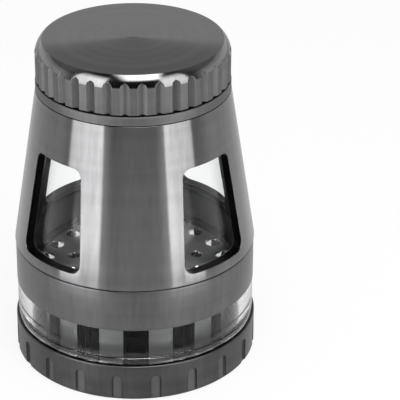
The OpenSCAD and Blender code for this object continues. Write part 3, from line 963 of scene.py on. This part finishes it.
class MILL_OT_grinding_plate(bpy.types.Operator):
    """Models the plate with its three rings of countersunk holes"""

    bl_idname = "mill.grinding_plate"
    bl_label = "Grinding plate"

    def execute(self, context):
        base = context.scene.mill_base
        sizes = context.scene.mill_plate
        foot = low("grinding_plate")
        top = high("grinding_plate")
        outer = reach("grinding_plate")
        groove_out = reach("ring_gasket") + sizes.tongue_fit
        groove_in = reach("ring_gasket") - base.spigot_wall - sizes.tongue_fit
        groove_top = foot + sizes.groove_depth
        plate = turn("plate_drilled", [
            (0, foot), (groove_in, foot), (groove_in, groove_top), (groove_out, groove_top),
            (groove_out, foot), (outer, foot), (outer, top, base.edge / 2), (0, top)])
        boss_radius = boss_reach()
        inner_row = row_radius(3) - base.tooth_thickness
        rings = [
            (sizes.outer_holes, sizes.hole_width, row_radius(0)),
            (sizes.middle_holes, sizes.middle_hole_width, row_radius(2) - base.tooth_thickness / 2),
            (sizes.core_holes, sizes.hole_width, (boss_radius + inner_row) / 2)]
        for number, width, radius in rings:
            hole = width / 2
            flare = hole + sizes.hole_flare
            drill = turn("drill", [
                (0, foot - OVER), (flare + OVER, foot - OVER), (hole, foot + sizes.hole_flare),
                (hole, top - sizes.hole_depth_up), (hole + sizes.hole_width_up, top),
                (hole + sizes.hole_width_up, top + OVER), (0, top + OVER)], HOLE_STEPS)
            shift(drill, facing(math.pi / number, radius))
            combine(plate, repeat(drill, number), "DIFFERENCE")
        dress(plate, "grinding_plate")
        return {"FINISHED"}


def boss_reach():
    """Outer radius of the magnet bosses."""
    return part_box("base_magnet")[1].x + bpy.context.scene.mill_plate.boss_wall


def collar_radius():
    """Radius of the collar of the barrel."""
    return reach("cap") + bpy.context.scene.mill_cap.crest_inset


def barrel_heights(sizes):
    """Heights of the foot, the shoulder line and the collar of the barrel."""
    foot = high("body_band") + sizes.seam
    shoulder = foot + sizes.cone_height
    return foot, shoulder, shoulder + sizes.collar_height


def barrel_slope(sizes):
    """How much the cone draws in for each unit of height, and its foot radius."""
    foot_radius = reach("body_band") + sizes.foot_lip
    return (foot_radius - collar_radius()) / sizes.cone_height, foot_radius


class MILL_OT_barrel(bpy.types.Operator):
    """Models the conical barrel with its windows and threads"""

    bl_idname = "mill.barrel"
    bl_label = "Barrel"

    def execute(self, context):
        sizes = context.scene.mill_barrel
        threads = context.scene.mill_cap
        edge = context.scene.mill_base.edge
        foot, shoulder, collar = barrel_heights(sizes)
        slope, foot_radius = barrel_slope(sizes)
        shoulder_radius = collar_radius()
        spigot_foot = low("barrel")
        neck_top = high("barrel")
        bore = foot_radius - sizes.wall - sizes.bore_step
        spigot = bore + sizes.spigot_wall
        cone_bore_foot = foot + sizes.bore_step / slope
        deck = collar - sizes.deck
        deck_radius = foot_radius - sizes.wall - (deck - foot) * slope
        groove = bore + sizes.groove_depth
        groove_low = foot + sizes.groove_low
        groove_high = groove_low + sizes.groove_width
        cap_bore = reach("cap_seal") + context.scene.mill_base.running_gap
        neck = cap_bore - threads.ridge_height - threads.thread_gap
        neck_bore = neck - sizes.neck_wall
        line = sizes.line_depth
        barrel = turn("barrel_shell", [
            (bore, spigot_foot), (spigot, spigot_foot, edge), (spigot, foot), (foot_radius, foot, edge / 1.5),
            (shoulder_radius + line / 2 * slope, shoulder - line / 2),
            (shoulder_radius - line, shoulder - line / 2), (shoulder_radius - line, shoulder + line / 2),
            (shoulder_radius, shoulder + line / 2), (shoulder_radius, collar, edge), (neck, collar),
            (neck, neck_top, edge), (neck_bore, neck_top, edge), (neck_bore, deck), (deck_radius, deck),
            (bore, cone_bore_foot), (bore, groove_high), (groove, groove_high), (groove, groove_low),
            (bore, groove_low)])
        half_sill = sizes.sill_width / 2
        half_head = sizes.head_width / 2
        sill = foot + sizes.sill_height
        head = sill + sizes.window_height
        outline = rounded([(-half_sill, sill, sizes.corner), (half_sill, sill, sizes.corner),
                           (half_head, head, sizes.corner), (-half_head, head, sizes.corner)])
        angle = math.pi / sizes.window_count + sizes.window_turn
        window = prism("window_cutter",
                       [facing(angle, shoulder_radius / 2, point.x, point.y) for point in outline],
                       facing(angle, foot_radius))
        combine(barrel, repeat(window, sizes.window_count), "DIFFERENCE")
        plain = threads.ridge_width + threads.lead / 2 + 2 * threads.thread_end
        run = high("body_band") - spigot_foot - plain
        start = spigot_foot + threads.thread_end + threads.ridge_width / 2
        combine(barrel, thread("thread", spigot, spigot + threads.ridge_height, start, run, threads), "UNION")
        run = neck_top - collar - threads.cap_gap - plain
        start = neck_top - threads.thread_end - threads.ridge_width / 2 - run
        combine(barrel, thread("thread", neck, neck + threads.ridge_height, start, run, threads), "UNION")
        dress(barrel, "barrel")
        return {"FINISHED"}


class MILL_OT_window_liner(bpy.types.Operator):
    """Models the clear cone that lines the windows"""

    bl_idname = "mill.window_liner"
    bl_label = "Window liner"

    def execute(self, context):
        sizes = context.scene.mill_barrel
        foot = barrel_heights(sizes)[0]
        slope = barrel_slope(sizes)[0]
        cone_foot = foot + sizes.bore_step / slope
        outer = reach("window_liner")
        top = high("window_liner")
        top_radius = outer - (top - cone_foot) * slope
        wall = sizes.liner_wall
        liner = turn("liner_clear", [
            (outer - wall, low("window_liner")), (outer, low("window_liner")), (outer, cone_foot),
            (top_radius, top), (top_radius - wall, top), (outer - wall, cone_foot)])
        dress(liner, "window_liner")
        return {"FINISHED"}


def cap_edge_height(sizes):
    """Height at which the rounded edge of the cap begins."""
    angle = math.acos(1 - sizes.edge_width / sizes.edge_radius)
    return high("cap") - sizes.dome - sizes.edge_radius * math.sin(angle)


class MILL_OT_cap(bpy.types.Operator):
    """Models the fluted cap with its turned disc and rounded edge"""

    bl_idname = "mill.cap"
    bl_label = "Cap"

    def execute(self, context):
        sizes = context.scene.mill_cap
        edge = context.scene.mill_base.edge
        running = context.scene.mill_base.running_gap
        foot = low("cap")
        top = high("cap")
        outer = collar_radius()
        crest = reach("cap")
        bore = reach("cap_seal") + running
        roof = top - sizes.roof
        begin = cap_edge_height(sizes)
        first = math.acos(1 - sizes.crest_inset / sizes.edge_radius)
        last = math.acos(1 - sizes.edge_width / sizes.edge_radius)
        arc = [(outer - sizes.edge_radius * (1 - math.cos(angle)),
                begin + sizes.edge_radius * math.sin(angle))
               for angle in (first + (last - first) * step / EDGE_STEPS for step in range(EDGE_STEPS + 1))]
        rim = arc[-1][0]
        disc = [(rim * part, top - sizes.dome * part) for part in DISC_RINGS]
        cap = turn("cap_fluted", [(bore, foot, edge / 2), (crest, foot, edge / 2)] + arc + disc
                   + [(0, roof), (bore, roof)])
        half = math.pi / sizes.flute_count
        past = OVER / 2
        groove = crest - sizes.flute_depth
        spread = sizes.flute_width / 2 * (sizes.flute_depth + past) / sizes.flute_depth
        bottom = foot - OVER
        run_out = top - sizes.flute_top
        rise = sizes.flute_depth + past
        flutes = repeat(prism("flute_cutter", [
            facing(half, groove, 0, bottom), facing(half, crest + past, spread, bottom),
            facing(half, crest + past, -spread, bottom)],
            UP * (run_out - bottom), facing(half, rise, 0, rise)), sizes.flute_count)
        combine(cap, flutes, "DIFFERENCE")
        neck_top = high("barrel")
        plain = sizes.ridge_width + sizes.lead / 2 + 2 * sizes.thread_end
        run = neck_top - foot - plain
        start = neck_top - sizes.thread_end - sizes.ridge_width / 2 - run - sizes.lead / 2
        combine(cap, thread("thread", bore, bore - sizes.ridge_height, start, run, sizes), "UNION")
        dress(cap, "cap")
        return {"FINISHED"}


class MILL_OT_small_parts(bpy.types.Operator):
    """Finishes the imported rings, seals, magnets and screws"""

    bl_idname = "mill.small_parts"
    bl_label = "Small parts"

    def execute(self, context):
        for node in ("friction_ring", "ring_gasket", "barrel_seal", "liner_seal", "liner_snap_ring",
                     "cap_seal", "base_magnet", "plate_magnet", "base_magnet_screw",
                     "plate_magnet_screw"):
            for place in frame["nodes"][node].material_slots:
                place.material = finish(SLOTS[node])
        return {"FINISHED"}


class MILL_OT_stage(bpy.types.Operator):
    """Sets the floor, the lamps, the sky and the camera"""

    bl_idname = "mill.stage"
    bl_label = "Stage"

    def execute(self, context):
        context.scene.view_settings.view_transform = "Standard"
        add_floor()
        add_studio()
        strip = {"distance": 0.13, "height": 0.113, "tall": 0.224, "aim": 0.113,
                 "rise": 0.6, "foot": 3.3, "top": 0.3}
        add_lamp("strip_left", math.radians(-48), width=0.0847, fade=0.3, radiance=2.5, **strip)
        add_lamp("strip_right", math.radians(45.2), width=0.071, fade=-0.3, radiance=2.2, **strip)
        add_lamp("overhead", math.radians(10), distance=0.2, height=0.42, width=0.3, tall=0.34,
                 radiance=6.3, aim=0.08, fade=0.6, soft=0.2, top=0.3)
        add_camera()
        return {"FINISHED"}


def seen_directly(tree):
    """1 where the camera sees a spot straight or through clear pieces, and 0 in reflections."""
    path = tree.node("ShaderNodeLightPath", output="Is Camera Ray")
    through = path.out("Is Transmission Ray") * (1 - path.out("Glossy Depth").clamped())
    return (path + through * (1 - path.out("Diffuse Depth").clamped())).clamped()


def add_floor():
    """A pale floor. In reflections painted shade dims it in front of the mill, but for two lanes of painted
    light.
    """
    select_only()
    bpy.ops.mesh.primitive_plane_add(size=FLOOR_SIZE)
    floor = bpy.context.object
    floor.name = "floor"
    material, tree = new_material("pale_floor")
    place = tree.node("ShaderNodeTexCoord", output="Object")
    seen = seen_directly(tree)
    parts = tree.node("ShaderNodeSeparateXYZ", {}, [place])
    back = parts.out("Y")
    lean = parts.math("ABSOLUTE", parts.out("X")) / (MM - back)
    lanes = lean.math("ABSOLUTE", lean - FLOOR_LANE).ramp(0.21875, 0.0625)
    dim = (back.ramp(-0.02, -0.12) * 0.6 + 0.4) * (1 - lanes) * (1 - seen)
    board = tree.node("ShaderNodeBsdfDiffuse", {}, {"Color": tree.mix(dim, FLOOR_PALE, FLOOR_DIM)})
    glow = tree.node("ShaderNodeEmission", {}, {"Strength": 1.0})
    tree.end(tree.node("ShaderNodeMixShader", {}, [seen * FLOOR_GLOW, board, glow]))
    floor.data.materials.append(material)


def add_studio():
    """White for the camera, soft light on the mill, and in reflections bright only behind it."""
    world = bpy.data.worlds.new("studio")
    bpy.context.scene.world = world
    sky = Tree(world)
    parts = sky.node("ShaderNodeSeparateXYZ", {}, [sky.node("ShaderNodeTexCoord", output="Generated")])
    behind = parts.out("Y").ramp(-0.3, 0)
    raised = parts.out("Z").ramp(0.396, 0.404)
    mid = parts.out("Z").ramp(0.2, 0.3)
    room = behind * (ROOM_BACK - mid * ROOM_FALL - raised * ROOM_TOP_FALL) + ROOM_FRONT
    seen = seen_directly(sky)
    diffuse = sky.node("ShaderNodeLightPath", output="Diffuse Depth").clamped()
    level = seen + (1 - seen) * (diffuse * ROOM_LIGHT + (1 - diffuse) * room)
    sky.end(sky.node("ShaderNodeBackground", {}, {"Color": (1, 1, 1, 1), "Strength": level}),
            "ShaderNodeOutputWorld")


def add_camera():
    """The camera at the photo's angle."""
    select_only()
    bpy.ops.object.camera_add(location=CAMERA_PLACE)
    camera = bpy.context.object
    turn_down = Matrix.Rotation(math.pi / 2 - CAMERA_DOWN, 4, "X")
    pan = Matrix.Rotation(CAMERA_PAN, 4, "Z")
    roll = Matrix.Rotation(CAMERA_ROLL, 4, "Z")
    camera.matrix_world = Matrix.Translation(camera.location) @ pan @ turn_down @ roll
    camera.data.lens = CAMERA_LENS
    camera.data.sensor_width = CAMERA_SENSOR
    camera.data.clip_start = CAMERA_NEAR
    bpy.context.scene.camera = camera


def add_lamp(name, angle, distance, height, width, tall, radiance, aim,
             fade=0.0, rise=0.0, foot=0.0, soft=0.02, top=0.02):
    """A soft box at an angle from the front that faces a height on the axis.

    fade brightens it from side to side, rise its upper part and foot its lowest part. Its edges dim
    over the share soft, and its top over the share top. One with hard edges shows in reflections alone.
    """
    select_only()
    place = facing(angle, distance, 0, height)
    bpy.ops.object.light_add(type="AREA", location=place)
    lamp = bpy.context.object
    lamp.name = name
    lamp.rotation_euler = (Vector((0, 0, aim)) - place).to_track_quat("-Z", "Y").to_euler()
    lamp.data.shape = "RECTANGLE"
    lamp.data.size = width
    lamp.data.size_y = tall
    lamp.data.energy = radiance * math.pi * width * tall
    lamp.visible_camera = False
    lamp.visible_diffuse = soft > HARD_EDGE
    tree = Tree(lamp.data)
    spot = tree.node("ShaderNodeSeparateXYZ", {}, [tree.node("ShaderNodeNewGeometry", output="Parametric")])
    across, up = spot.out("X"), spot.out("Y")
    sides = across.ramp(0, soft) * across.ramp(1, 1 - soft)
    ends = up.ramp(0, soft) * up.ramp(1, 1 - top)
    level = 1 + up.ramp(0.25, 0.5) * rise + up.ramp(0.06, 0) * foot
    strength = sides * ends * (1 + (across - 0.5) * fade) * level
    tree.end(tree.node("ShaderNodeEmission", {}, {"Strength": strength}), "ShaderNodeOutputLight")


class MILL_PT_panel(bpy.types.Panel):
    """Lists the pieces of the mill"""

    bl_label = "Spice mill"
    bl_idname = "MILL_PT_panel"
    bl_space_type = "VIEW_3D"
    bl_region_type = "UI"
    bl_category = "Spice mill"

    def draw(self, context):
        for piece in OPERATORS:
            self.layout.operator(piece.bl_idname)
        for group in ("mill_base", "mill_plate", "mill_barrel", "mill_cap", "mill_finishes"):
            settings = getattr(context.scene, group)
            for key in settings.__annotations__:
                self.layout.prop(settings, key)


GROUPS = {"mill_base": MillBaseSizes, "mill_plate": MillPlateSizes, "mill_barrel": MillBarrelSizes,
          "mill_cap": MillCapSizes, "mill_finishes": MillFinishes}
OPERATORS = (MILL_OT_base_cup, MILL_OT_teeth, MILL_OT_clear_ring, MILL_OT_band, MILL_OT_grinding_plate,
             MILL_OT_barrel, MILL_OT_window_liner, MILL_OT_cap, MILL_OT_small_parts, MILL_OT_stage)


def register():
    """Registers the sizes, the operators and the panel."""
    for name, group in GROUPS.items():
        bpy.utils.register_class(group)
        setattr(bpy.types.Scene, name, PointerProperty(type=group))
    for piece in OPERATORS + (MILL_PT_panel,):
        bpy.utils.register_class(piece)


def unregister():
    """Takes back what register did."""
    for piece in reversed(OPERATORS + (MILL_PT_panel,)):
        bpy.utils.unregister_class(piece)
    for name, group in GROUPS.items():
        delattr(bpy.types.Scene, name)
        bpy.utils.unregister_class(group)


def main():
    """Makes every piece."""
    register()
    bpy.ops.mill.base_cup()
    bpy.ops.mill.teeth()
    bpy.ops.mill.clear_ring()
    bpy.ops.mill.band()
    bpy.ops.mill.grinding_plate()
    bpy.ops.mill.barrel()
    bpy.ops.mill.window_liner()
    bpy.ops.mill.cap()
    bpy.ops.mill.small_parts()
    bpy.ops.mill.stage()


if __name__ == "__main__":
    main()
